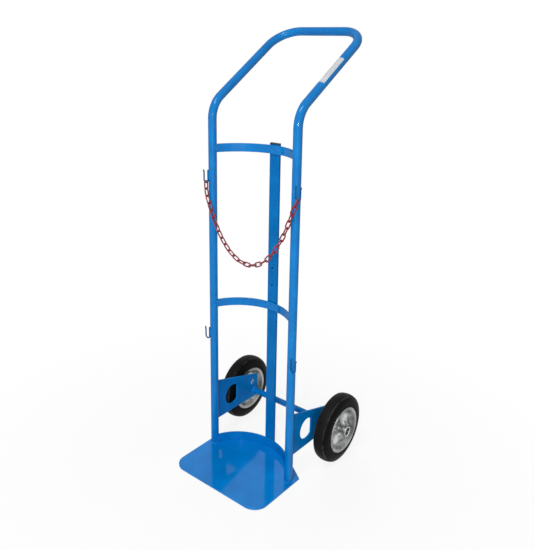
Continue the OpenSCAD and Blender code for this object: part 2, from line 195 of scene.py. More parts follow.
def makeGalvanised():
    made, wire, shader, place = newMaterial("galvanisedSheet")
    axleLow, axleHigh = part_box("axle")
    spoke = wire.vector("SUBTRACT", place, (axleLow + axleHigh) / 2)
    spoke = wire.vector("MULTIPLY", spoke, (0, 1, 1))
    reach = wire.vector("LENGTH", spoke)
    lip = reach.between(sheetSpec["lipFrom"] - mm, sheetSpec["lipFrom"])
    spoke = wire.vector("NORMALIZE", spoke)
    turn = sheetSpec["streak"]
    along = wire.vector("DOT_PRODUCT", spoke, (0, math.cos(turn), math.sin(turn)))
    along = along * along
    # painted highlight: a pale streak through the hub, in the bowl only
    streak = along * along * reach.between(*sheetSpec["streakFade"])
    reflectionSector = spoke.noise(sheetSpec["reflectionSector"], 1.0)
    cloud = place.noise(sheetSpec["cloud"], 2.0)
    grime = place.noise(sheetSpec["grime"], 5.0, 0.65)
    # painted reflection: the streak, the sectors and the patches set the bowl between grey and pale
    mask = (streak * 0.5 + reflectionSector * 0.5 + cloud * 0.35).between(0.36, 0.98)
    bowl = mask.mixColour(sheetSpec["grey"], sheetSpec["pale"])
    # painted reflection on the lip, between lipShade and lip
    edgeMask = (reflectionSector * 0.5 + cloud * 0.5).between(0.35, 0.6)
    edge = edgeMask.mixColour(sheetSpec["lipShade"], sheetSpec["lip"])
    base = lip.mixColour(bowl, edge)
    rough = sheetSpec["roughness"] + (cloud - 0.5) * 0.1 + (grime - 0.5) * 0.08
    finishSurface(wire, shader, base, rough, grime * 0.2 + cloud * 0.8, 0.15, sheetSpec["relief"])
    wire.feed(shader["Metallic"], 0.97 - 0.06 * grime)
    return made


# Bright zinc of the hubs and washers
zincSpec = {
    "pale": colour(222, 224, 226),
    "dull": colour(176, 178, 176),
    "cloud": 180,  # patches of shade, per metre
    "scratch": 1400,  # fine scratches, per metre
    "scratchDepth": 0.03 * mm,
    "roughness": 0.26,
}


def makeZinc():
    made, wire, shader, place = newMaterial("brightZinc")
    cloud = place.noise(zincSpec["cloud"], 4.0).between(0.3, 0.7)
    scratch = place.noise(zincSpec["scratch"], 3.0, 0.6)
    base = cloud.mixColour(zincSpec["dull"], zincSpec["pale"])
    rough = zincSpec["roughness"] + (scratch - 0.5) * 0.2
    finishSurface(wire, shader, base, rough, scratch, 0.2, zincSpec["scratchDepth"])
    shader["Metallic"].default_value = 1.0
    return made


# Oiled steel of the axle's ends and the retaining rings
oilSpec = {
    "black": colour(16, 16, 17),
    "steel": colour(52, 50, 48),
    "film": 240,  # patches of oil, per metre
    "filmHeight": 0.05 * mm,
    "roughness": 0.42,
    "metallic": 0.7,
}


def makeOiledSteel():
    made, wire, shader, place = newMaterial("oiledSteel")
    film = place.noise(oilSpec["film"], 4.0, 0.6).between(0.3, 0.75)
    base = film.mixColour(oilSpec["black"], oilSpec["steel"])
    rough = oilSpec["roughness"] - film * 0.12
    finishSurface(wire, shader, base, rough, film, 0.2, oilSpec["filmHeight"])
    shader["Metallic"].default_value = oilSpec["metallic"]
    return made


# Moulded black tyre rubber, dusty on the tread, with a painted highlight as a pale grey line along its
# edges
rubberSpec = {
    "black": colour(11, 11, 11),
    "worn": colour(30, 29, 28),
    # pale grey of the tread's wear and of the painted highlight along its edges
    "wearAndHighlightGrey": colour(92, 90, 88),
    "treadEdgeAt": 16.5 * mm,  # from the tyre's middle plane
    "highlightWidth": 2.4 * mm,
    "treadWear": 0.06,  # how much of the pale grey shows on the tread, as wear
    "edgeHighlight": 0.7,  # and along its edges, as a painted highlight
    "bloom": 22,  # dull patches, per metre
    "dust": 130,  # dust, per metre
    "grain": 1500,  # the mould's grain, per metre
    "grainDepth": 0.06 * mm,
    "roughness": 0.46,
    "gloss": 0.035,
}


def makeRubber():
    made, wire, shader, place = newMaterial("tyreRubber")
    bloom = place.noise(rubberSpec["bloom"], 4.0, 0.6)
    grain = place.noise(rubberSpec["grain"], 3.0, 0.6)
    dust = place.noise(rubberSpec["dust"], 5.0, 0.7).between(0.5, 0.75)
    low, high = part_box("tyre_right")
    sideways = wire.math("ABSOLUTE", wire.vector("DOT_PRODUCT", place, (1, 0, 0)), 0)
    fromMiddle = wire.math("ABSOLUTE", sideways - (low.x + high.x) / 2, 0)
    fromEdge = wire.math("ABSOLUTE", fromMiddle - rubberSpec["treadEdgeAt"], 0)
    tread = fromMiddle.between(rubberSpec["treadEdgeAt"], rubberSpec["treadEdgeAt"] - mm)
    # painted highlight: a pale line along each edge of the tread, broken up by the dull patches
    rub = fromEdge.between(rubberSpec["highlightWidth"], 0) * bloom.between(0.35, 0.6)
    mask = bloom.between(0.4, 0.75) * 0.5 + dust * 0.25
    base = mask.mixColour(rubberSpec["black"], rubberSpec["worn"])
    # the tread's wear and the painted highlight together
    wearAndHighlight = tread * rubberSpec["treadWear"] + rub * rubberSpec["edgeHighlight"]
    base = wearAndHighlight.mixColour(base, rubberSpec["wearAndHighlightGrey"])
    rough = rubberSpec["roughness"] + (bloom - 0.5) * 0.25 + (grain - 0.5) * 0.1
    finishSurface(wire, shader, base, rough, grain * 0.7 + dust * 0.3, 0.4, rubberSpec["grainDepth"])
    shader["Specular IOR Level"].default_value = rubberSpec["gloss"]
    return made


# Red lacquer of the chain, rubbed through in places
lacquerSpec = {
    "red": colour(148, 20, 40),
    "dark": colour(92, 8, 26),
    "steel": colour(212, 190, 190),
    "drift": 120,  # slow change of the shade, per metre
    "rub": 420,  # rubbed places, per metre
    "bare": 0.35,  # how much steel shows through them
    "grain": 1100,  # the lacquer's grain, per metre
    "grainDepth": 0.04 * mm,
    "roughness": 0.26,
}


def makeChainRed():
    made, wire, shader, place = newMaterial("chainRed")
    drift = place.noise(lacquerSpec["drift"], 3.0)
    rub = place.noise(lacquerSpec["rub"], 4.0, 0.65).between(0.68, 0.8)
    base = drift.between(0.3, 0.7).mixColour(lacquerSpec["dark"], lacquerSpec["red"])
    base = (rub * lacquerSpec["bare"]).mixColour(base, lacquerSpec["steel"])
    rough = lacquerSpec["roughness"] + (drift - 0.5) * 0.15
    grain = place.noise(lacquerSpec["grain"])
    finishSurface(wire, shader, base, rough, grain, 0.3, lacquerSpec["grainDepth"])
    return made


# Moulded plastics and the blank label: two close shades, patches and a fine grain, both per metre
capSpec = {
    "dark": colour(12, 12, 14), "pale": colour(34, 34, 37),
    "cloud": 70, "grain": 1800, "roughness": 0.42,
}
nylonSpec = {
    "dark": colour(196, 192, 178), "pale": colour(226, 223, 212),
    "cloud": 90, "grain": 1300, "roughness": 0.4,
}
blankSpec = {
    "dark": colour(182, 186, 190), "pale": colour(206, 208, 210),
    "cloud": 40, "grain": 2400, "roughness": 0.35,
}
grainDepth = 0.05 * mm


def makeGrained(name, spec):
    made, wire, shader, place = newMaterial(name)
    cloud = place.noise(spec["cloud"], 4.0)
    grain = place.noise(spec["grain"], 3.0, 0.65)
    base = (cloud * 0.7 + grain * 0.3).mixColour(spec["dark"], spec["pale"])
    finishSurface(wire, shader, base, spec["roughness"] + (grain - 0.5) * 0.2, grain, 0.3, grainDepth)
    return made


framePaint = makePaint("framePaint")
platePaint = makePaint("platePaint")
bracketPaint = makePaint("bracketPaint")
postPaint = makePaint("postPaint")
hookPaint = makePaint("hookPaint")
weldPaint = makePaint("weldPaint")
galvanised = makeGalvanised()
brightZinc = makeZinc()
oiledSteel = makeOiledSteel()
tyreRubber = makeRubber()
chainRed = makeChainRed()
capPlastic = makeGrained("capPlastic", capSpec)
bushNylon = makeGrained("bushNylon", nylonSpec)
blankLabel = makeGrained("blankLabel", blankSpec)
print("materials made")


# Mesh helpers
sharpAngle = math.radians(40)  # edges sharper than this aren't shaded smooth
xAxis, yAxis, zAxis = Vector((1, 0, 0)), Vector((0, 1, 0)), Vector((0, 0, 1))


def placeObject(name, data):
    made = bpy.data.objects.new(name, data)
    bpy.context.scene.collection.objects.link(made)
    return made


def meshData(name, mesh):
    verts, faces = mesh
    data = bpy.data.meshes.new(name)
    data.from_pydata([tuple(v) for v in verts], [], faces)
    return data


def turnOutwards(data, merge=False):
    work = bmesh.new()
    work.from_mesh(data)
    if merge:
        bmesh.ops.remove_doubles(work, verts=work.verts, dist=hair)
    bmesh.ops.recalc_face_normals(work, faces=work.faces)
    work.to_mesh(data)
    work.free()


def addPiece(name, mesh, material, body, stoodFor=()):
    data = meshData(name, mesh)
    turnOutwards(data)
    return dressMesh(name, data, material, body, stoodFor)


def dressMesh(name, data, material, body, stoodFor=()):
    data.materials.clear()
    data.materials.append(material)
    data.polygons.foreach_set("use_smooth", [True] * len(data.polygons))
    data.set_sharp_from_angle(angle=sharpAngle)
    piece = placeObject(name, data)
    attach(piece, body)
    if stoodFor:
        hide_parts(*stoodFor)
    return piece


def evenNormals(piece):
    # flat faces stay flat beside their rounded edges
    piece.modifiers.new("evenNormals", "WEIGHTED_NORMAL").keep_sharp = True


def evenSteps(span, steps, start=0):
    return [start + span * k / steps for k in range(steps + 1)]


def flatPoints(pairs):
    return [Vector((a, b, 0)) for a, b in pairs]


def filletPath(corners, radii, steps):
    # a run of straight lines with its inner corners turned into arcs; one radius for all, or one each
    if not isinstance(radii, (list, tuple)):
        radii = [radii] * (len(corners) - 2)
    path = [corners[0]]
    for before, corner, after, radius in zip(corners, corners[1:], corners[2:], radii):
        back = (before - corner).normalized()
        ahead = (after - corner).normalized()
        half = back.angle(ahead) / 2
        centre = corner + (back + ahead).normalized() * radius / math.sin(half)
        start = corner + back * radius / math.tan(half) - centre
        end = corner + ahead * radius / math.tan(half) - centre
        axis = start.cross(end)
        path += [centre + Quaternion(axis, a) @ start for a in evenSteps(math.pi - 2 * half, steps)]
    path.append(corners[-1])
    return path


def filletLoop(pairs, radii, steps=4):
    # the same for a closed flat outline
    corners = flatPoints(pairs)
    middle = (corners[0] + corners[-1]) / 2
    return filletPath([middle] + corners + [middle], radii, steps)[:-1]


def spacedPath(path, spacing):
    # points at an even spacing along a run of lines
    points = []
    for a, b in zip(path, path[1:]):
        count = max(1, round((b - a).length / spacing))
        points += [a.lerp(b, k / count) for k in range(count)]
    return points + [path[-1]]


def circleSection(radius, sides):
    turns = [2 * math.pi * k / sides for k in range(sides)]
    return [(radius * math.cos(a), radius * math.sin(a)) for a in turns]


def barSection(width, height, edge, steps=4):
    # a flat bar with its four edges rounded
    a, b = width / 2, height / 2
    loop = filletLoop([(a, -b), (a, b), (-a, b), (-a, -b)], edge, steps)
    return [(p.x, p.y) for p in loop]


def sweepRings(path, section, scales=None, up=None, closed=False):
    # a section carried along a path without twist, or with its second axis held to up
    count = len(path)
    side = None
    rings = []
    for i, point in enumerate(path):
        after = path[(i + 1) % count] if closed else path[min(i + 1, count - 1)]
        before = path[i - 1] if closed or i else path[0]
        ahead = (after - before).normalized()
        if up:
            side = up.cross(ahead)
        elif side is None:
            side = ahead.orthogonal()
        side = (side - ahead * side.dot(ahead)).normalized()
        other = ahead.cross(side)
        scale = scales[i] if scales else 1.0
        rings.append([point + scale * (side * a + other * b) for a, b in section])
    return rings


def skinRings(rings, closed=False):
    # quads between rings; the two end rings are filled unless the rings close on themselves
    sides = len(rings[0])
    verts = [v for ring in rings for v in ring]
    faces = []
    for i in range(len(rings) if closed else len(rings) - 1):
        a = i * sides
        b = (i + 1) % len(rings) * sides
        faces += [(a + k, a + (k + 1) % sides, b + (k + 1) % sides, b + k) for k in range(sides)]
    if not closed:
        last = len(verts) - sides
        faces.append(tuple(reversed(range(sides))))
        faces.append(tuple(range(last, last + sides)))
    return verts, faces


def joinMeshes(parts):
    verts, faces = [], []
    for partVerts, partFaces in parts:
        start = len(verts)
        verts += partVerts
        faces += [tuple(start + k for k in face) for face in partFaces]
    return verts, faces


def rodMesh(path, radius, edge, sides, edgeSteps=3):
    # a round rod along a path, its cut ends broken by a small rounding
    turns = evenSteps(math.pi / 2, edgeSteps)
    head = (path[1] - path[0]).normalized()
    tail = (path[-2] - path[-1]).normalized()
    start = [path[0] + head * edge * (1 - math.cos(a)) for a in turns]
    end = [path[-1] + tail * edge * (1 - math.cos(a)) for a in reversed(turns)]
    scales = [1 - edge / radius * (1 - math.sin(a)) for a in turns]
    whole = start + path[1:-1] + end
    allScales = scales + [1.0] * (len(path) - 2) + scales[::-1]
    return skinRings(sweepRings(whole, circleSection(radius, sides), allScales))


def turnedMesh(profile, centre, side, steps, lift=None):
    # a closed profile of (out, radius) turned about the axle line; lift presses places outwards
    rings = []
    for k in range(steps):
        a = 2 * math.pi * k / steps
        ring = []
        for p in profile:
            out = p.x + (lift(a, p.y) if lift else 0)
            ring.append(centre + Vector((side * out, p.y * math.cos(a), p.y * math.sin(a))))
        rings.append(ring)
    return skinRings(rings, closed=True)


def cutPlate(name, loops, thickness, edge, place):
    # a flat plate from closed outlines, the first the rim and the rest holes, its edges rounded over
    outline = bpy.data.curves.new(name, "CURVE")
    outline.dimensions = "2D"
    outline.fill_mode = "BOTH"
    outline.extrude = thickness / 2 - edge
    outline.bevel_depth = edge
    outline.bevel_resolution = 3
    outline.offset = -edge
    for loop in loops:
        spline = outline.splines.new("POLY")
        spline.points.add(len(loop) - 1)
        spline.use_cyclic_u = True
        for point, p in zip(spline.points, loop):
            point.co = (p.x, p.y, 0, 1)
    maker = placeObject(name, outline)
    bpy.context.view_layer.update()
    solid = maker.evaluated_get(bpy.context.evaluated_depsgraph_get())
    data = bpy.data.meshes.new_from_object(solid)
    bpy.data.objects.remove(maker)
    data.transform(place)
    turnOutwards(data, merge=True)
    return data


def circleLoop(x, y, radius, sides=72):
    return flatPoints((x + a, y + b) for a, b in circleSection(radius, sides))


# Frame tube: uprights, sloping sides and cross handle in one bent tube
tubeSpec = {
    "radius": 12.7 * mm,
    "bendRadius": 76 * mm,
    "bendZ": 1122 * mm,  # height at which upright and handle side would meet
    "sides": 64,
    "bendSteps": 26,
}
tubeLow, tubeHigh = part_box("frame_tube")
tubeR = tubeSpec["radius"]
halfW = tubeHigh.x - tubeR
footZ = tubeLow.z
handleY = tubeHigh.y - tubeR
handleZ = tubeHigh.z - tubeR
bendPoint = Vector((halfW, 0, tubeSpec["bendZ"]))
handlePoint = Vector((halfW, handleY, handleZ))


def mirrored(point):
    return Vector((-point.x, point.y, point.z))


def makeFrameTube():
    half = [Vector((halfW, 0, footZ)), bendPoint, handlePoint]
    corners = half + [mirrored(p) for p in reversed(half)]
    path = filletPath(corners, tubeSpec["bendRadius"], tubeSpec["bendSteps"])
    mesh = skinRings(sweepRings(path, circleSection(tubeR, tubeSpec["sides"])))
    addPiece("frameTube", mesh, framePaint, "frame", ["frame_tube"])


makeFrameTube()
print("frame tube made")


# Toe plate: round front corners, slanting back corners
plateSpec = {
    "sideBack": 30 * mm,  # where the straight sides end
    "backWidth": 108 * mm,
    "frontRadius": 46 * mm,
    "backRadius": 3 * mm,
    "cornerSteps": 20,
    "edge": 0.9 * mm,
}
plateLow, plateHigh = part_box("toe_plate")
plateTop = plateHigh.z


def makeToePlate():
    side = plateHigh.x
    back = plateSpec["backWidth"] / 2
    # the front edge is kept a hair inside the solid's own
    half = [(side, plateLow.y + hair), (side, plateSpec["sideBack"]), (back, plateHigh.y)]
    corners = half + [(-x, y) for x, y in reversed(half)]
    front, small = plateSpec["frontRadius"], plateSpec["backRadius"]
    radii = [front, small, small, small, small, front]
    loop = filletLoop(corners, radii, plateSpec["cornerSteps"])
    place = Matrix.Translation((0, 0, (plateLow.z + plateHigh.z) / 2))
    data = cutPlate("toePlate", [loop], plateHigh.z - plateLow.z, plateSpec["edge"], place)
    evenNormals(dressMesh("toePlate", data, platePaint, "frame", ["toe_plate"]))


makeToePlate()
print("toe plate made")


# Curved flat bars that cradle the cylinder
bandSpec = {
    "thickness": 5 * mm,
    "meetAngle": 20,  # degrees behind the upright's innermost line
    "edge": 0.8 * mm,
    "steps": 72,
}
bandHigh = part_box("upper_band")[1]
bandT = bandSpec["thickness"]
meetTurn = math.radians(bandSpec["meetAngle"])
meetX = halfW - tubeR * math.cos(meetTurn)
meetY = tubeR * math.sin(meetTurn)
arcDepth = bandHigh.y - bandT / 2 - meetY
arcR = (meetX ** 2 + arcDepth ** 2) / (2 * arcDepth)
arcY = bandHigh.y - bandT / 2 - arcR
arcHalf = math.atan2(meetX, meetY - arcY)


def arcPoint(turn, radius, z):
    # a point on the cradle's arc; turn is measured from straight back
    return Vector((radius * math.sin(turn), arcY + radius * math.cos(turn), z))


def makeBand(name, node):
    low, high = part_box(node)
    middle = (low.z + high.z) / 2
    turns = evenSteps(2 * arcHalf, bandSpec["steps"], -arcHalf)
    path = [arcPoint(turn, arcR, middle) for turn in turns]
    section = barSection(bandT, high.z - low.z, bandSpec["edge"])
    mesh = skinRings(sweepRings(path, section, up=zAxis))
    evenNormals(addPiece(name, mesh, framePaint, "frame", [node]))


for name, node in (("baseRim", "base_rim"), ("lowerBand", "lower_band"), ("upperBand", "upper_band")):
    makeBand(name, node)
print("bands made")


# Back post: flat box section with two accessory holes, and its end cap
postSpec = {
    "wall": 1.5 * mm,
    "edge": 2 * mm,
    "holeRadius": 3.2 * mm,
    "holeHeights": (632 * mm, 577 * mm),
    "holeSides": 40,
    "capEdge": 1.2 * mm,
    "capSteps": 6,
}
postLow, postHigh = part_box("back_post")


def makeBackPost():
    wall, edge = postSpec["wall"], postSpec["edge"]
    width, depth = postHigh.x - postLow.x, postHigh.y - postLow.y
    middle = (postLow.y + postHigh.y) / 2
    outer = barSection(width, depth, edge)
    inner = barSection(width - 2 * wall, depth - 2 * wall, edge - wall)
    rings = []
    for section, z in ((outer, postLow.z), (outer, postHigh.z), (inner, postHigh.z), (inner, postLow.z)):
        rings.append([Vector((a, middle + b, z)) for a, b in section])
    mesh = skinRings(rings, closed=True)
    post = addPiece("backPost", mesh, postPaint, "frame", ["back_post"])
    evenNormals(post)
    for z in postSpec["holeHeights"]:
        drillHole(post, Vector((0, middle, z)), postSpec["holeRadius"], depth)


def drillHole(piece, centre, radius, depth):
    # a round hole along Y, cut for good
    ends = [centre - yAxis * depth, centre + yAxis * depth]
    rod = skinRings(sweepRings(ends, circleSection(radius, postSpec["holeSides"])))
    drill = placeObject("drill", meshData("drill", rod))
    cutter = piece.modifiers.new("hole", "BOOLEAN")
    cutter.object = drill
    cutter.solver = "EXACT"
    piece.modifiers.move(len(piece.modifiers) - 1, 0)
    bpy.context.view_layer.objects.active = piece
    bpy.ops.object.modifier_apply(modifier="hole")
    bpy.data.objects.remove(drill)


def makePostCap():
    low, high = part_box("post_cap")
    width, depth, height = high.x - low.x, high.y - low.y, high.z - postHigh.z
    loop = flatPoints(barSection(width, depth, postSpec["edge"], postSpec["capSteps"]))
    place = Matrix.Translation((0, (low.y + high.y) / 2, postHigh.z + height / 2))
    data = cutPlate("postCap", [loop], height, postSpec["capEdge"], place)
    evenNormals(dressMesh("postCap", data, capPlastic, "frame", ["post_cap"]))


makeBackPost()
makePostCap()
print("post made")


# Axle brackets: flat plates welded behind the uprights
bracketSpec = {
    "frontHeight": 143 * mm,
    "backHeight": 80 * mm,
    "frontRadius": 1 * mm,
    "backRadius": 9 * mm,
    "cornerSteps": 12,
    "bigHole": (86 * mm, 146 * mm, 34.5 * mm),  # back, height, radius
    "bigHoleFlat": 23 * mm,  # from its middle to its straight back edge
    "smallHole": (192 * mm, 146 * mm, 9 * mm),
    "edge": 0.8 * mm,
}
axleLow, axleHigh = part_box("axle")
axleY = (axleLow.y + axleHigh.y) / 2
axleZ = (axleLow.z + axleHigh.z) / 2
axleR = (axleHigh.z - axleLow.z) / 2


def bigHoleLoop(steps=60):
    # a round hole cut straight at the back
    y, z, radius = bracketSpec["bigHole"]
    flat = math.acos(bracketSpec["bigHoleFlat"] / radius)
    turns = evenSteps(2 * (math.pi - flat), steps, flat)
    return flatPoints((y + radius * math.cos(a), z + radius * math.sin(a)) for a in turns)


def makeBracket(name, node):
    low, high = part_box(node)
    front = math.sqrt(tubeR ** 2 - ((high.x - low.x) / 2) ** 2)
    fall = (bracketSpec["frontHeight"] - bracketSpec["backHeight"]) / high.y
    top = low.z + bracketSpec["frontHeight"]
    corners = [(front, low.z), (high.y, low.z), (high.y, top - fall * high.y), (front, top - fall * front)]
    small, large = bracketSpec["frontRadius"], bracketSpec["backRadius"]
    radii = [small, large, large, small]
    loop = filletLoop(corners, radii, bracketSpec["cornerSteps"])
    holes = [bigHoleLoop(), circleLoop(*bracketSpec["smallHole"])]
    toSide = Matrix(((0, 0, 1, (low.x + high.x) / 2), (1, 0, 0, 0), (0, 1, 0, 0), (0, 0, 0, 1)))
    data = cutPlate(name, [loop] + holes, high.x - low.x, bracketSpec["edge"], toSide)
    evenNormals(dressMesh(name, data, bracketPaint, "frame", [node]))


makeBracket("bracketLeft", "bracket_left")
makeBracket("bracketRight", "bracket_right")
print("brackets made")


# Rod hooks on the front of the uprights
hookSpec = {
    "rod": 2.25 * mm,  # radius of the rod
    "bend": 8 * mm,
    "leg": 31 * mm,
    "tipLeg": 22 * mm,
    "flareRadius": 10 * mm,
    "flareTurn": math.radians(45),
    "edge": 0.6 * mm,
    "bendSteps": 16,
    "flareSteps": 8,
    "sides": 20,
}


def hookFoot(node, side):
    # where the bend begins, at the foot of the leg that is welded to the upright
    low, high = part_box(node)
    rod = hookSpec["rod"]
    legX = high.x - rod if side < 0 else low.x + rod
    return Vector((legX, (low.y + high.y) / 2, low.z + rod + hookSpec["bend"]))


def makeHook(name, node, side):
    start = hookFoot(node, side)
    bend, flare = hookSpec["bend"], hookSpec["flareRadius"]
    across = xAxis * side
    path = [start + zAxis * hookSpec["leg"]]
    for a in evenSteps(math.pi, hookSpec["bendSteps"]):
        path.append(start + across * bend * (1 - math.cos(a)) - zAxis * bend * math.sin(a))
    flareStart = start + across * 2 * bend + zAxis * hookSpec["tipLeg"]
    for a in evenSteps(hookSpec["flareTurn"], hookSpec["flareSteps"]):
        path.append(flareStart + flare * (across * (1 - math.cos(a)) + zAxis * math.sin(a)))
    mesh = rodMesh(path, hookSpec["rod"], hookSpec["edge"], hookSpec["sides"])
    addPiece(name, mesh, hookPaint, "frame", [node])


for level in ("Upper", "Lower"):
    for word, side in (("Left", -1), ("Right", 1)):
        makeHook(f"hook{level}{word}", f"hook_{level}_{word}".lower(), side)
print("hooks made")


# Wheels: tyre, two pressed rim halves and hub
wheelSpec = {
    "steps": 180,
    "seat": 64.6 * mm,  # radius of the tyre's seat
    "rimRadius": 74 * mm,
    "lipOut": 26.5 * mm,  # from the wheel's middle plane to the lip's face
    "webOut": 12 * mm,
    "webRadius": 53.5 * mm,
    "bossOut": 16 * mm,
    "bossRadius": 22 * mm,
    "bossFoot": 30 * mm,
    "sheet": 2.5 * mm,
    "halfGap": 0.1 * mm,  # from the wheel's middle plane to each rim half
    "rounding": (0.3, 0.8, 3, 5, 4, 1.4, 0.9, 0.9, 0.5, 0.3, 0.3, 3, 3),  # at the rim's corners, in mm
    "roundSteps": 6,
    "rimSpacing": 2.2 * mm,
    "collarGap": 0.05 * mm,
    "hubWall": 3 * mm,
    "hubEdge": 0.7 * mm,
    "hubSteps": 96,
}
ribSpec = {
    "count": 6,
    "from": 27 * mm,
    "to": 61 * mm,
    "halfWidth": 9.5 * mm,
    "height": 6 * mm,
    "sideShape": 1.5,  # the higher, the softer its sides
    "endShape": 0.5,  # the lower, the blunter its ends
    "turn": math.radians(170),
}
tyreSpec = {
    "treadHalf": 16.5 * mm,  # half the width of the tread
    "treadDrop": 3.3 * mm,  # how far its edges lie below its middle
    "upright": 10 * mm,  # upright part of the side, above the rim
    "treadEnd": (1.76 * mm, 0.2 * mm),  # inwards from the tread's edge, and down from the tread
    "groove": (1.21 * mm, 1.2 * mm),
    "ridge": (0.77 * mm, -0.2 * mm),  # inwards from the tread's edge, and down from that edge
    "shoulder": (-0.55 * mm, 2.4 * mm),
    "swell": 1.2 * mm,  # how far the sloping wall bulges
    "beadOut": 23.9 * mm,
    "rimGap": 0.2 * mm,
    "foot": ((0, 5), (1.2, 3.6), (0.2, 2.2), (0.4, 0)),  # inwards from the side, up from the rim, in mm
    "rounding": (0.6, 0.5, 0.5, 0.1, 0.1, 0.1),  # at the corners of the foot and bead, in mm
    "roundSteps": 5,
    "wallSteps": 10,
    "crownSteps": 12,
}


def profilePoint(out, radius):
    return Vector((out, radius, 0))


def treadArc(top, half, drop, steps):
    # from the middle of the tread to its edge, slightly crowned
    radius = (half ** 2 + drop ** 2) / (2 * drop)
    full = math.asin(half / radius)
    turns = evenSteps(full, steps)
    return [profilePoint(radius * math.sin(a), top - radius * (1 - math.cos(a))) for a in turns]


def swollenLine(start, end, swell, steps):
    # a line that bulges to its left by swell at its middle
    along = end - start
    out = Vector((along.y, -along.x, 0)).normalized() * -swell
    return [start + along * k / steps + out * math.sin(math.pi * k / steps) for k in range(1, steps)]


def besideEdge(key, edge, level):
    inwards, down = tyreSpec[key]
    return profilePoint(edge.x - inwards, level - down)


def makeTyre(name, node, body, centre, side):
    low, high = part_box(node)
    wall = (high.x - low.x) / 2
    bead, seat = tyreSpec["beadOut"], wheelSpec["seat"]
    rim = wheelSpec["rimRadius"] + tyreSpec["rimGap"]
    top = (high.z - low.z) / 2
    tread = treadArc(top, tyreSpec["treadHalf"], tyreSpec["treadDrop"], tyreSpec["crownSteps"])
    edge, level = tread[-1], tread[-2].y
    # the tread ends in a groove beside a narrow raised line, then the wall slopes out to the rim
    groove = [besideEdge("treadEnd", edge, level), besideEdge("groove", edge, level)]
    ridge = [besideEdge("ridge", edge, edge.y), edge]
    wallTop = besideEdge("shoulder", edge, edge.y)
    wallFoot = profilePoint(wall, rim + tyreSpec["upright"])
    slope = [wallTop] + swollenLine(wallTop, wallFoot, tyreSpec["swell"], tyreSpec["wallSteps"])
    foot = [(wall - inwards * mm, rim + up * mm) for inwards, up in tyreSpec["foot"]]
    foot += [(bead, rim), (bead, seat), (0, seat)]
    corners = [wallFoot] + flatPoints(foot)
    flank = filletPath(corners, [r * mm for r in tyreSpec["rounding"]], tyreSpec["roundSteps"])
    half = tread[1:-2] + groove + ridge + slope + flank[:-1]
    loop = [tread[0]] + half + [profilePoint(0, seat)]
    loop += [profilePoint(-p.x, p.y) for p in reversed(half)]
    mesh = turnedMesh(loop, centre, side, wheelSpec["steps"])
    addPiece(name, mesh, tyreRubber, body, [node])


def ribLift(turn, radius):
    # height of the pressed ribs at a place on the web
    share = (radius - ribSpec["from"]) / (ribSpec["to"] - ribSpec["from"])
    if not 0 < share < 1:
        return 0
    step = 2 * math.pi / ribSpec["count"]
    across = ((turn - ribSpec["turn"] + step / 2) % step - step / 2) * radius / ribSpec["halfWidth"]
    bulge = max(0, 1 - across ** 2) ** ribSpec["sideShape"]
    return ribSpec["height"] * bulge * math.sin(math.pi * share) ** ribSpec["endShape"]


def makeRim(name, node, body, centre, side):
    spec = wheelSpec
    sheet, seat, gap = spec["sheet"], spec["seat"], spec["halfGap"]
    lip, web, boss = spec["lipOut"], spec["webOut"], spec["bossOut"]
    collar = hubRadius + spec["collarGap"]
    slope = math.atan2(lip - web, seat - spec["webRadius"])
    backOut = lip - sheet * math.tan(slope) - sheet / math.cos(slope)
    backRadius = spec["webRadius"] + sheet * math.tan(slope / 2)
    # from the collar out over the web to the lip, and back along the inner side of the sheet
    corners = [
        (web - sheet, collar), (boss, collar), (boss, spec["bossRadius"]), (web, spec["bossFoot"]),
        (web, spec["webRadius"]), (lip, seat), (lip, spec["rimRadius"]), (lip - sheet, spec["rimRadius"]),
        (lip - sheet, seat), (gap, seat), (gap, seat - sheet), (backOut, seat - sheet),
        (web - sheet, backRadius)]
    loop = filletLoop(corners, [r * mm for r in spec["rounding"]], spec["roundSteps"])
    loop = spacedPath(loop + loop[:1], spec["rimSpacing"])[:-1]
    mesh = turnedMesh(loop, centre, side, spec["steps"] * 2, ribLift)
    addPiece(name, mesh, galvanised, body, [node])


def makeHub(name, node, body, side):
    low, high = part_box(node)
    centre = Vector(((low.x + high.x) / 2, axleY, axleZ))
    half, inner = (high.x - low.x) / 2, hubRadius - wheelSpec["hubWall"]
    corners = [(-half, inner), (half, inner), (half, hubRadius), (-half, hubRadius)]
    loop = filletLoop(corners, wheelSpec["hubEdge"])
    mesh = turnedMesh(loop, centre, side, wheelSpec["hubSteps"])
    addPiece(name, mesh, brightZinc, body, [node])


hubLow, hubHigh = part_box("hub_right")
hubRadius = (hubHigh.z - hubLow.z) / 2
for word, side in (("Left", -1), ("Right", 1)):
    tag = word.lower()
    body = f"wheel_{tag}"
    low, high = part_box(f"tyre_{tag}")
    centre = Vector(((low.x + high.x) / 2, axleY, axleZ))
    makeTyre(f"tyre{word}", f"tyre_{tag}", body, centre, side)
    makeRim(f"rimOuter{word}", f"rim_outer_{tag}", body, centre, side)
    makeRim(f"rimInner{word}", f"rim_inner_{tag}", body, centre, -side)
    makeHub(f"hub{word}", f"hub_{tag}", body, side)
print("wheels made")


# Chain: each welded link is rebuilt where its solid lies
linkSpec = {
    "wire": 2 * mm,  # radius of the wire
    "innerLength": 22.3 * mm,
    "innerWidth": 7.5 * mm,
    "weldSwell": 0.16,
    "weldSharpness": 8,  # the higher, the shorter the swollen weld
    "sides": 14,
    "bendSteps": 12,
    "sideSteps": 8,
}


def linkPlaces():
    # the middle, long way and wide way of each solid link
    work = bmesh.new()
    work.from_mesh(nodes["chain"].data)
    bmesh.ops.remove_doubles(work, verts=work.verts, dist=hair)
    left = set(work.verts)
    places = []
    while left:
        group = {left.pop()}
        edge = set(group)
        while edge:
            edge = {e.other_vert(v) for v in edge for e in v.link_edges} - group
            group |= edge
        left -= group
        places.append(linkAxes([v.co.copy() for v in group]))
    work.free()
    return sorted(places, key=lambda place: place[0].x)


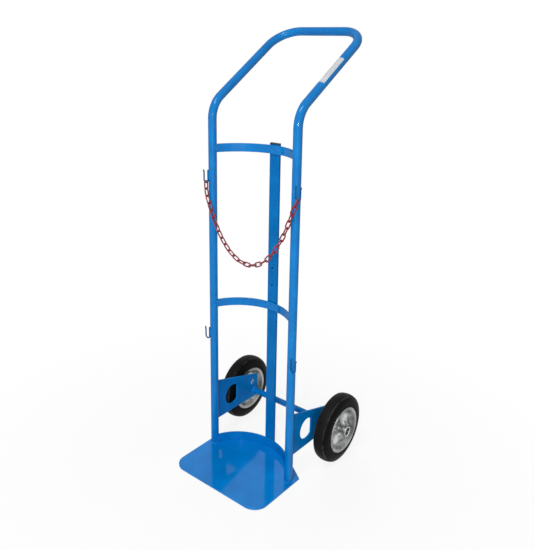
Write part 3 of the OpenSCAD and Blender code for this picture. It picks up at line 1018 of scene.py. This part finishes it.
def linkAxes(points):
    # the far ends of a link give its long way, and the widest points across give its wide way
    middle = Vector([(min(p[i] for p in points) + max(p[i] for p in points)) / 2 for i in range(3)])
    far = max(points, key=lambda p: (p - middle).length) - middle
    along = Vector((0, 0, 0))
    for p in points:
        step = p - middle
        along += step * step.dot(far) * abs(step.dot(far))
    along.normalize()
    flat = [(p - middle) - along * (p - middle).dot(along) for p in points]
    wide = max(flat, key=lambda p: p.length)
    across = Vector((0, 0, 0))
    for p in flat:
        across += p * p.dot(wide) * abs(p.dot(wide))
    across = (across - along * across.dot(along)).normalized()
    return middle, along, across


def linkMesh(middle, along, across):
    bend = linkSpec["innerWidth"] / 2 + linkSpec["wire"]
    half = linkSpec["innerLength"] / 2 + linkSpec["wire"] - bend
    sideSteps = linkSpec["sideSteps"]
    path, scales = [], []
    for sign in (1, -1):
        for a in evenSteps(math.pi, linkSpec["bendSteps"]):
            path.append(middle + sign * (along * (half + bend * math.sin(a)) + across * bend * math.cos(a)))
            scales.append(1.0)
        for k in range(1, sideSteps):
            share = k / sideSteps
            path.append(middle + sign * (along * half * (1 - 2 * share) - across * bend))
            swell = linkSpec["weldSwell"] * math.sin(math.pi * share) ** linkSpec["weldSharpness"]
            scales.append(1 + swell if sign > 0 else 1.0)
    section = circleSection(linkSpec["wire"], linkSpec["sides"])
    return skinRings(sweepRings(path, section, scales, up=along.cross(across), closed=True), closed=True)


places = linkPlaces()
links = joinMeshes([linkMesh(*place) for place in places])
addPiece("chainLinks", links, chainRed, "chain", ["chain"])
print("chain made:", len(places), "links")


# Weld beads, rippled as the torch moved
weldSpec = {
    "radius": 1.7 * mm,
    "hookRadius": 1.19 * mm,
    "ripple": 2.1 * mm,
    "rippleSteps": 4,
    "depth": 0.14,  # of the ripples, as a share of the radius
    "wander": 0.06,
    "endShare": 0.45,  # thickness of a bead's very end, as a share
    "endSteps": 5,  # points over which it grows to the full radius
    "sides": 10,
    "ringSides": 48,
    "offFlat": 0.51 * mm,  # from a flat face to the bead's middle
    "offRing": 0.68 * mm,  # from a round bar to the bead that rings it
    "offUpright": 0.85 * mm,  # from an upright to a straight bead
    "offPost": 0.34 * mm,  # in front of the post
    "bandSpread": 0.28,  # turn round the upright from a band's middle to its beads, in radians
    "stitch": 34 * mm,
    "stitches": 3,
    "stitchEnds": (2 * mm, 30 * mm),  # where a bracket's bead lies in its stitch
    "hookEnds": (3 * mm, 4 * mm),  # above the leg's foot, and below its top
    "hookPlace": (0.75, 0.8),  # towards the upright and aside, in radii of the rod
    "rimPlaces": (-0.75, -0.25, 0.25, 0.75),  # along the base rim, from its middle to its ends
    "rimSteps": 12,
}
beadR = weldSpec["radius"]


def weldBead(path, radius=beadR, closed=False):
    points = spacedPath(path, weldSpec["ripple"] / weldSpec["rippleSteps"])
    if closed:
        points.pop()
    thin = weldSpec["endShare"]
    scales = []
    for i in range(len(points)):
        ripple = weldSpec["depth"] * math.sin(2 * math.pi * i / weldSpec["rippleSteps"])
        wave = 1 + ripple + weldSpec["wander"] * random.uniform(-1, 1)
        fromEnd = min(i, len(points) - 1 - i) / weldSpec["endSteps"]
        scales.append(wave if closed else wave * min(1, thin + (1 - thin) * fromEnd))
    section = circleSection(radius, weldSpec["sides"])
    return skinRings(sweepRings(points, section, scales, closed=closed), closed=closed)


def ringBead(centre, across, along, radius):
    path = [centre + across * a + along * b for a, b in circleSection(radius, weldSpec["ringSides"])]
    return weldBead(path + [centre + across * radius], closed=True)


def uprightPlace(side, turn, radius, z):
    # a place round an upright; turn is measured from its innermost line towards the back
    return Vector((side * (halfW - radius * math.cos(turn)), radius * math.sin(turn), z))


def uprightBeads(side, bandBoxes):
    # round the upright's foot on the toe plate, and up both sides of each band's end
    foot = Vector((side * halfW, 0, plateTop + weldSpec["offFlat"]))
    beads = [ringBead(foot, xAxis, yAxis, tubeR + weldSpec["offRing"])]
    radius = tubeR + weldSpec["offUpright"]
    for low, high in bandBoxes:
        heights = (low.z + beadR, high.z - beadR)
        for turn in (meetTurn - weldSpec["bandSpread"], meetTurn + weldSpec["bandSpread"]):
            beads.append(weldBead([uprightPlace(side, turn, radius, z) for z in heights]))
    return beads


def bracketBeads(side):
    # stitches up both faces of a bracket, and a ring round the axle on its inner face
    beads = []
    low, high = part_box("bracket_right")
    run = (bracketSpec["frontHeight"] - weldSpec["stitch"]) / (weldSpec["stitches"] - 1)
    for face in (-1, 1):
        out = face * ((high.x - low.x) / 2 + weldSpec["offFlat"])
        back = math.sqrt(tubeR ** 2 - out ** 2) + weldSpec["offUpright"]
        for k in range(weldSpec["stitches"]):
            start = Vector((side * halfW + out, back, low.z + k * run))
            beads.append(weldBead([start + zAxis * rise for rise in weldSpec["stitchEnds"]]))
        if face * side < 0:
            middle = Vector((side * halfW + out, axleY, axleZ))
            beads.append(ringBead(middle, yAxis, zAxis, axleR + weldSpec["offRing"]))
    return beads


def postBeads(side, bandBoxes):
    # in the corners between post and bands, and along the post's foot
    beads = []
    x = side * (postHigh.x + weldSpec["offFlat"])
    for low, high in bandBoxes:
        corner = Vector((x, postLow.y - weldSpec["offPost"], 0))
        beads.append(weldBead([corner + zAxis * (low.z + beadR), corner + zAxis * (high.z - beadR)]))
    foot = Vector((x, 0, plateTop + weldSpec["offFlat"]))
    beads.append(weldBead([foot + yAxis * (postLow.y + beadR), foot + yAxis * (postHigh.y - beadR)]))
    return beads


def hookBeads(side):
    # up both sides of each hook's leg, where it lies against the upright
    beads = []
    word = "left" if side < 0 else "right"
    towardsShare, asideShare = weldSpec["hookPlace"]
    fromFoot, fromTop = weldSpec["hookEnds"]
    for level in ("upper", "lower"):
        foot = hookFoot(f"hook_{level}_{word}", side)
        towards = Vector((side * halfW - foot.x, -foot.y, 0)).normalized()
        aside = towards.cross(zAxis)
        for sign in (-1, 1):
            spot = foot + hookSpec["rod"] * (towards * towardsShare + aside * sign * asideShare)
            ends = [spot + zAxis * fromFoot, spot + zAxis * (hookSpec["leg"] - fromTop)]
            beads.append(weldBead(ends, weldSpec["hookRadius"]))
    return beads


def rimBeads():
    # stitches behind the base rim, on the toe plate
    beads = []
    radius = arcR + bandT / 2 + weldSpec["offFlat"]
    span = weldSpec["stitch"] / 2 / arcR
    for share in weldSpec["rimPlaces"]:
        turns = evenSteps(2 * span, weldSpec["rimSteps"], arcHalf * share - span)
        beads.append(weldBead([arcPoint(turn, radius, plateTop + weldSpec["offFlat"]) for turn in turns]))
    return beads


def makeWelds():
    beads = []
    bandBoxes = [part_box(node) for node in ("base_rim", "lower_band", "upper_band")]
    for side in (-1, 1):
        beads += uprightBeads(side, bandBoxes)
        beads += bracketBeads(side)
        beads += postBeads(side, bandBoxes)
        beads += hookBeads(side)
    beads += rimBeads()
    addPiece("frameWelds", joinMeshes(beads), weldPaint, "frame")


makeWelds()
print("welds made")


# Blank label on the right sloping side of the handle
labelSpec = {
    "from": 119 * mm,  # along the sloping side, from the bend
    "length": 112 * mm,
    "left": math.radians(-66),  # its long edges, turned from the top of the tube
    "right": math.radians(54),
    "corner": 2.5 * mm,
    "thickness": 0.15 * mm,
    "cornerSteps": 6,
    "acrossSteps": 24,
}


def makeLabel():
    ahead = (handlePoint - bendPoint).normalized()
    top = xAxis.cross(ahead).normalized()
    across = (labelSpec["right"] - labelSpec["left"]) / 2
    middle = (labelSpec["right"] + labelSpec["left"]) / 2
    corner, length = labelSpec["corner"], labelSpec["length"]
    stops = [corner * (1 - math.cos(a)) for a in evenSteps(math.pi / 2, labelSpec["cornerSteps"])]
    stops = stops + [length - s for s in reversed(stops)]
    rings = []
    for stop in stops:
        end = min(stop, length - stop)
        drawnIn = corner - math.sqrt(max(0, corner ** 2 - max(0, corner - end) ** 2))
        half = across - drawnIn / tubeR
        turns = evenSteps(2 * half, labelSpec["acrossSteps"], middle - half)
        ring = [(turn, tubeR + labelSpec["thickness"]) for turn in turns]
        ring += [(turn, tubeR) for turn in reversed(turns)]
        line = bendPoint + ahead * (labelSpec["from"] + stop)
        rings.append([line + r * (top * math.cos(turn) + xAxis * math.sin(turn)) for turn, r in ring])
    addPiece("handleLabel", skinRings(rings), blankLabel, "frame")


makeLabel()
print("label made")


# Axle: a painted bar between the brackets, its ends bare and grooved for the rings
axleSpec = {
    "paintEnd": 157 * mm,
    "paintEdge": 0.1 * mm,
    "ringThick": 1.3 * mm,
    "ringGap": 0.05 * mm,
    "grooveDepth": 0.5 * mm,
    "endEdge": 1.2 * mm,
    "centreHole": 0.2,  # the lathe's hole in each end, as a share of the radius
    "sides": 48,
}


def makeAxle():
    reach, sides = axleSpec["paintEnd"], axleSpec["sides"]
    middle = Vector((0, axleY, axleZ))
    bar = rodMesh([middle - xAxis * reach, middle + xAxis * reach], axleR, axleSpec["paintEdge"], sides)
    addPiece("axleBar", bar, framePaint, "frame", ["axle"])
    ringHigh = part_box("retaining_rings")[1]
    inner, outer = ringHigh.x - axleSpec["ringThick"], ringHigh.x + axleSpec["ringGap"]
    deep, edge, end = axleR - axleSpec["grooveDepth"], axleSpec["endEdge"], axleHigh.x
    hole = axleSpec["centreHole"] * axleR
    profile = [
        (reach, hole), (reach, axleR), (inner, axleR), (inner, deep), (outer, deep), (outer, axleR),
        (end - edge, axleR), (end, axleR - edge), (end, hole)]
    ends = [turnedMesh(flatPoints(profile), middle, side, sides) for side in (-1, 1)]
    addPiece("axleEnds", joinMeshes(ends), oiledSteel, "frame", ["axle"])


makeAxle()
print("axle made")


# CAD solids that stay, with their finishes
for node, material in (
        ("axle_washers", brightZinc), ("retaining_rings", oiledSteel),
        ("bushes_left", bushNylon), ("bushes_right", bushNylon)):
    for materialSlot in nodes[node].material_slots:
        materialSlot.material = material


# Pale floor that turns wholly white away from the object, white surroundings, soft lamps
stageSpec = {
    "floorHalf": 30,
    "floorPale": (0.82, 0.82, 0.82, 1.0),
    "floorGrey": (0.8, 0.8, 0.8, 1.0),
    "floorCloud": 3,  # soft patches, per metre
    "floorRoughness": 0.8,
    "floorGloss": 0.1,
    "white": (1.0, 1.0, 1.0, 1.0),
    "selfLit": 0.86,  # share of the floor's white that shadows don't reach
    "nearEdge": 0.35,  # from here outwards the floor turns white
    "farEdge": 1.1,
    "ambient": 0.08,
}
lampSpec = {
    "key": {"place": (0.67, -2.46, 5.15), "size": (1.6, 1.6), "power": 156},
    "front": {"place": (1.25, -1.95, 1.4), "size": (0.12, 0.26), "power": 29},
    "soft": {"place": (1.75, -2.1, 1.0), "size": (1.5, 1.9), "power": 8},
    "back": {"place": (-2.0, 2.4, 2.0), "size": (2.0, 2.0), "power": 62, "mirrored": False},
}
lampAim = Vector((0, 0.05, 0.65))


def seenDirectly(wire):
    # 1 for rays from the camera, mirror rays and rays through glass
    path = wire.node("ShaderNodeLightPath")
    outputs = path.socket.node.outputs
    seen = Wire(wire.tree, outputs["Is Camera Ray"])
    for name in ("Is Glossy Ray", "Is Transmission Ray"):
        seen = wire.math("MAXIMUM", seen, Wire(wire.tree, outputs[name]))
    return seen


def makeFloor():
    made, wire, shader, place = newMaterial("paleFloor")
    cloud = place.noise(stageSpec["floorCloud"], 2.0)
    wire.feed(shader["Base Color"], cloud.mixColour(stageSpec["floorGrey"], stageSpec["floorPale"]))
    shader["Roughness"].default_value = stageSpec["floorRoughness"]
    shader["Specular IOR Level"].default_value = stageSpec["floorGloss"]
    tree = made.node_tree
    glow = wire.node("ShaderNodeEmission", {}, {"Color": stageSpec["white"], "Strength": 1.0})
    plain = Wire(tree, tree.nodes["Principled BSDF"].outputs[0])
    far = wire.vector("LENGTH", place).between(stageSpec["nearEdge"], stageSpec["farEdge"])
    share = stageSpec["selfLit"] + far * (1 - stageSpec["selfLit"])
    mixed = wire.node("ShaderNodeMixShader", {}, {0: seenDirectly(wire) * share, 1: plain, 2: glow})
    tree.links.new(mixed.socket, tree.nodes["Material Output"].inputs["Surface"])
    half = stageSpec["floorHalf"]
    corners = flatPoints([(-half, -half), (half, -half), (half, half), (-half, half)])
    data = meshData("floor", (corners, [(0, 1, 2, 3)]))
    data.materials.append(made)
    floor = placeObject("floor", data)


def makeWorld():
    world = bpy.data.worlds.new("studio")
    world.use_nodes = True
    bpy.context.scene.world = world
    wire = Wire(world.node_tree)
    background = world.node_tree.nodes["Background"].inputs
    background["Color"].default_value = stageSpec["white"]
    lit = stageSpec["ambient"] + seenDirectly(wire) * (1 - stageSpec["ambient"])
    wire.feed(background["Strength"], lit)


def makeLamp(name, spec):
    data = bpy.data.lights.new(name, "AREA")
    data.shape = "RECTANGLE"
    data.size, data.size_y = spec["size"]
    data.energy = spec["power"]
    lamp = placeObject(name, data)
    lamp.location = spec["place"]
    lamp.rotation_euler = (lampAim - lamp.location).to_track_quat("-Z", "Y").to_euler()
    lamp.visible_camera = False
    lamp.visible_glossy = spec.get("mirrored", True)  # the fill from behind leaves no glare on edges


makeFloor()
makeWorld()
for name, spec in lampSpec.items():
    makeLamp(name, spec)
print("studio made")


# Camera at the photograph's view, taken as 534 by 550 pixels
cameraSpec = {
    "place": (1.1612, -1.3837, 1.3190),
    "yaw": math.radians(40.80),
    "pitch": math.radians(16.34),
    "roll": math.radians(0.27),
    "focalPixels": 654.94,
    "axisPixel": (243.28, 225.17),  # where the view's axis meets the picture
    "picture": (534, 550),
    "sensor": 36,
}


def makeCamera():
    data = bpy.data.cameras.new("camera")
    width, height = cameraSpec["picture"]
    longSide = max(width, height)
    data.sensor_width = cameraSpec["sensor"]
    data.lens = cameraSpec["focalPixels"] * cameraSpec["sensor"] / longSide
    data.shift_x = (width / 2 - cameraSpec["axisPixel"][0]) / longSide
    data.shift_y = (cameraSpec["axisPixel"][1] - height / 2) / longSide
    camera = placeObject("camera", data)
    turn = Matrix.Rotation(cameraSpec["yaw"], 4, "Z")
    tilt = Matrix.Rotation(math.pi / 2 - cameraSpec["pitch"], 4, "X")
    roll = Matrix.Rotation(cameraSpec["roll"], 4, "Z")
    camera.matrix_world = Matrix.Translation(cameraSpec["place"]) @ turn @ tilt @ roll
    bpy.context.scene.camera = camera


makeCamera()
bpy.context.scene.view_settings.view_transform = "Standard"
